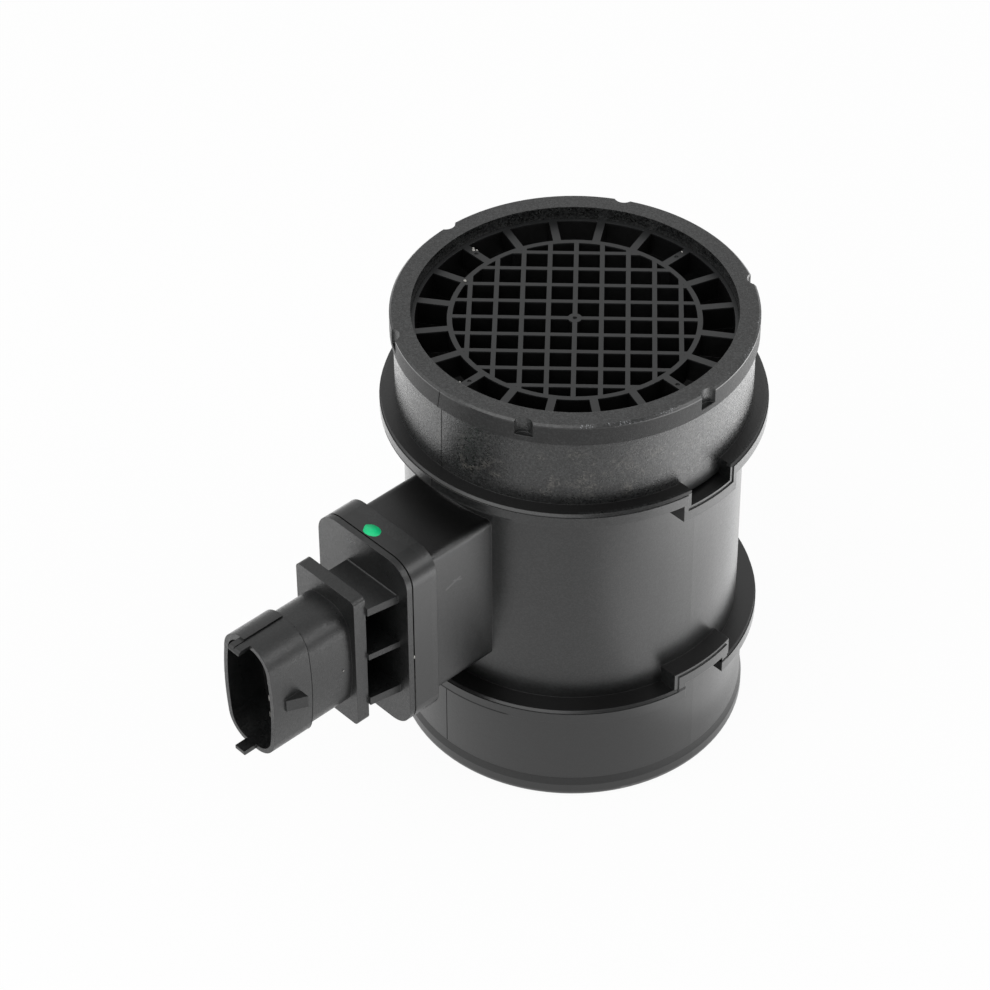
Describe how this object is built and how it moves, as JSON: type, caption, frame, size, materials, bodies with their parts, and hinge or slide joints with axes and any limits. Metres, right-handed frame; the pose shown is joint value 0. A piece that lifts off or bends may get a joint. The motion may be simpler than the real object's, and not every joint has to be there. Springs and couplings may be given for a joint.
{
  "type": "mass airflow sensor",
  "caption": "Round air duct with a guard grille over its inlet and a plug-in sensor module on its side, which measures the air that an engine takes in.",
  "frame": {"origin": "on the duct's axis, in the plane of the outlet end that the sensor stands on", "axes": "+Z along the duct's axis towards the inlet grille, -Y out of the plug connector, +X completes the right-handed frame"},
  "size_m": [0.0892, 0.1476, 0.1153],
  "materials": {
    "housing": "matt moulded, glass filled",
    "grille": "matt moulded",
    "module": "satin moulded",
    "seal": "matt",
    "base_metal": "rolled",
    "board": "fired ceramic, satin",
    "chip": "moulded, satin",
    "capacitor": "fired ceramic",
    "holder": "satin sheet",
    "silicon": "polished, opaque",
    "cover": "satin moulded",
    "pin_metal": "tin plated",
    "bead": "glazed",
    "paint": "brushed-on dab"
  },
  "bodies": {
    "root": {"tube_housing": "housing", "inlet_grille": "grille", "sensor_carrier": "module", "seal_ring": "seal", "base_plate": "base_metal", "circuit_board": "board", "signal_chip": "chip", "board_capacitors": "capacitor", "board_resistors": "chip", "chip_holder": "holder", "sensor_chip": "silicon", "electronics_cover": "cover", "channel_cover": "cover", "thermistor_leads": "pin_metal", "thermistor_bead": "bead", "paint_dot": "paint", "terminal_pin_1": "pin_metal", "terminal_pin_2": "pin_metal", "terminal_pin_3": "pin_metal", "terminal_pin_4": "pin_metal", "terminal_pin_5": "pin_metal"}
  },
  "joints": []
}
